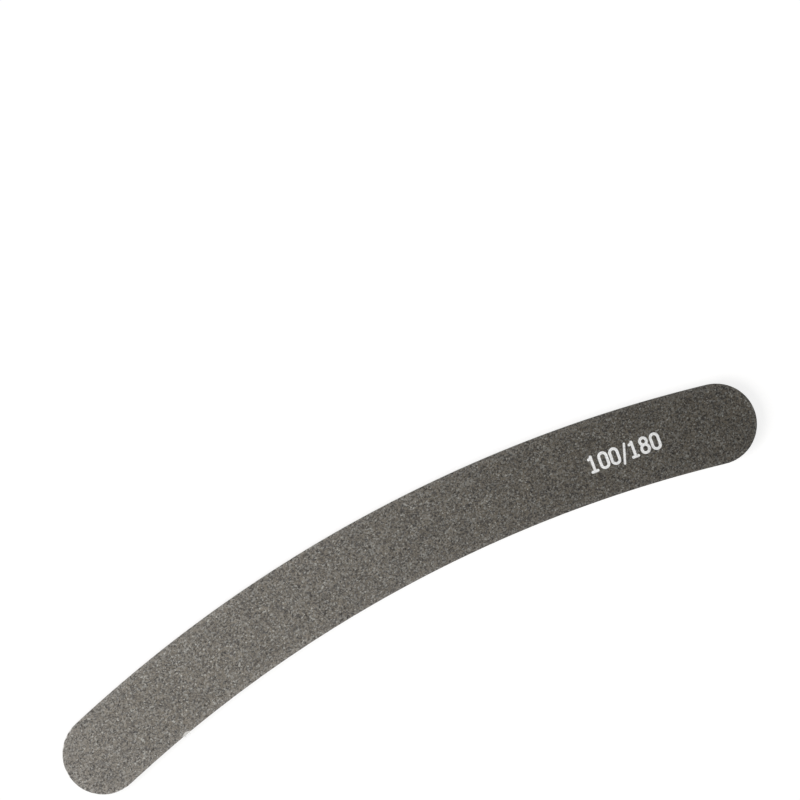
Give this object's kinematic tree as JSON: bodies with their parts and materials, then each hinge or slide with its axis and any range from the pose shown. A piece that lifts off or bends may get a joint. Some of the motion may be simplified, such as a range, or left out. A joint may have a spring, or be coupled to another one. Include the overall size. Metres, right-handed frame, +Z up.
{
  "type": "emery board",
  "caption": "Crescent-shaped nail file laminated from a stiff plastic core, foam and abrasive paper, coarse grit on the top face and fine grit on the underside.",
  "frame": {"origin": "middle of the underside of the outline's box, which lies on the fine face", "axes": "+X along the length, +Y towards the convex edge, +Z up, out of the coarse face"},
  "size_m": [0.178, 0.0288, 0.004],
  "materials": {
    "coarse_grit": "rough",
    "fine_grit": "rough",
    "bond_resin": "satin",
    "backing_paper": "matte",
    "glue": "satin",
    "foam": "matte",
    "core_plastic": "satin",
    "print_ink": "matte"
  },
  "bodies": {
    "root": {"fine_grit_coat": "fine_grit", "fine_bond_coat": "bond_resin", "fine_backing_paper": "backing_paper", "fine_paper_glue": "glue", "fine_foam_layer": "foam", "fine_core_glue": "glue", "core_board": "core_plastic", "coarse_core_glue": "glue", "coarse_foam_layer": "foam", "coarse_paper_glue": "glue", "coarse_backing_paper": "backing_paper", "coarse_bond_coat": "bond_resin", "coarse_grit_coat": "coarse_grit"}
  },
  "joints": []
}
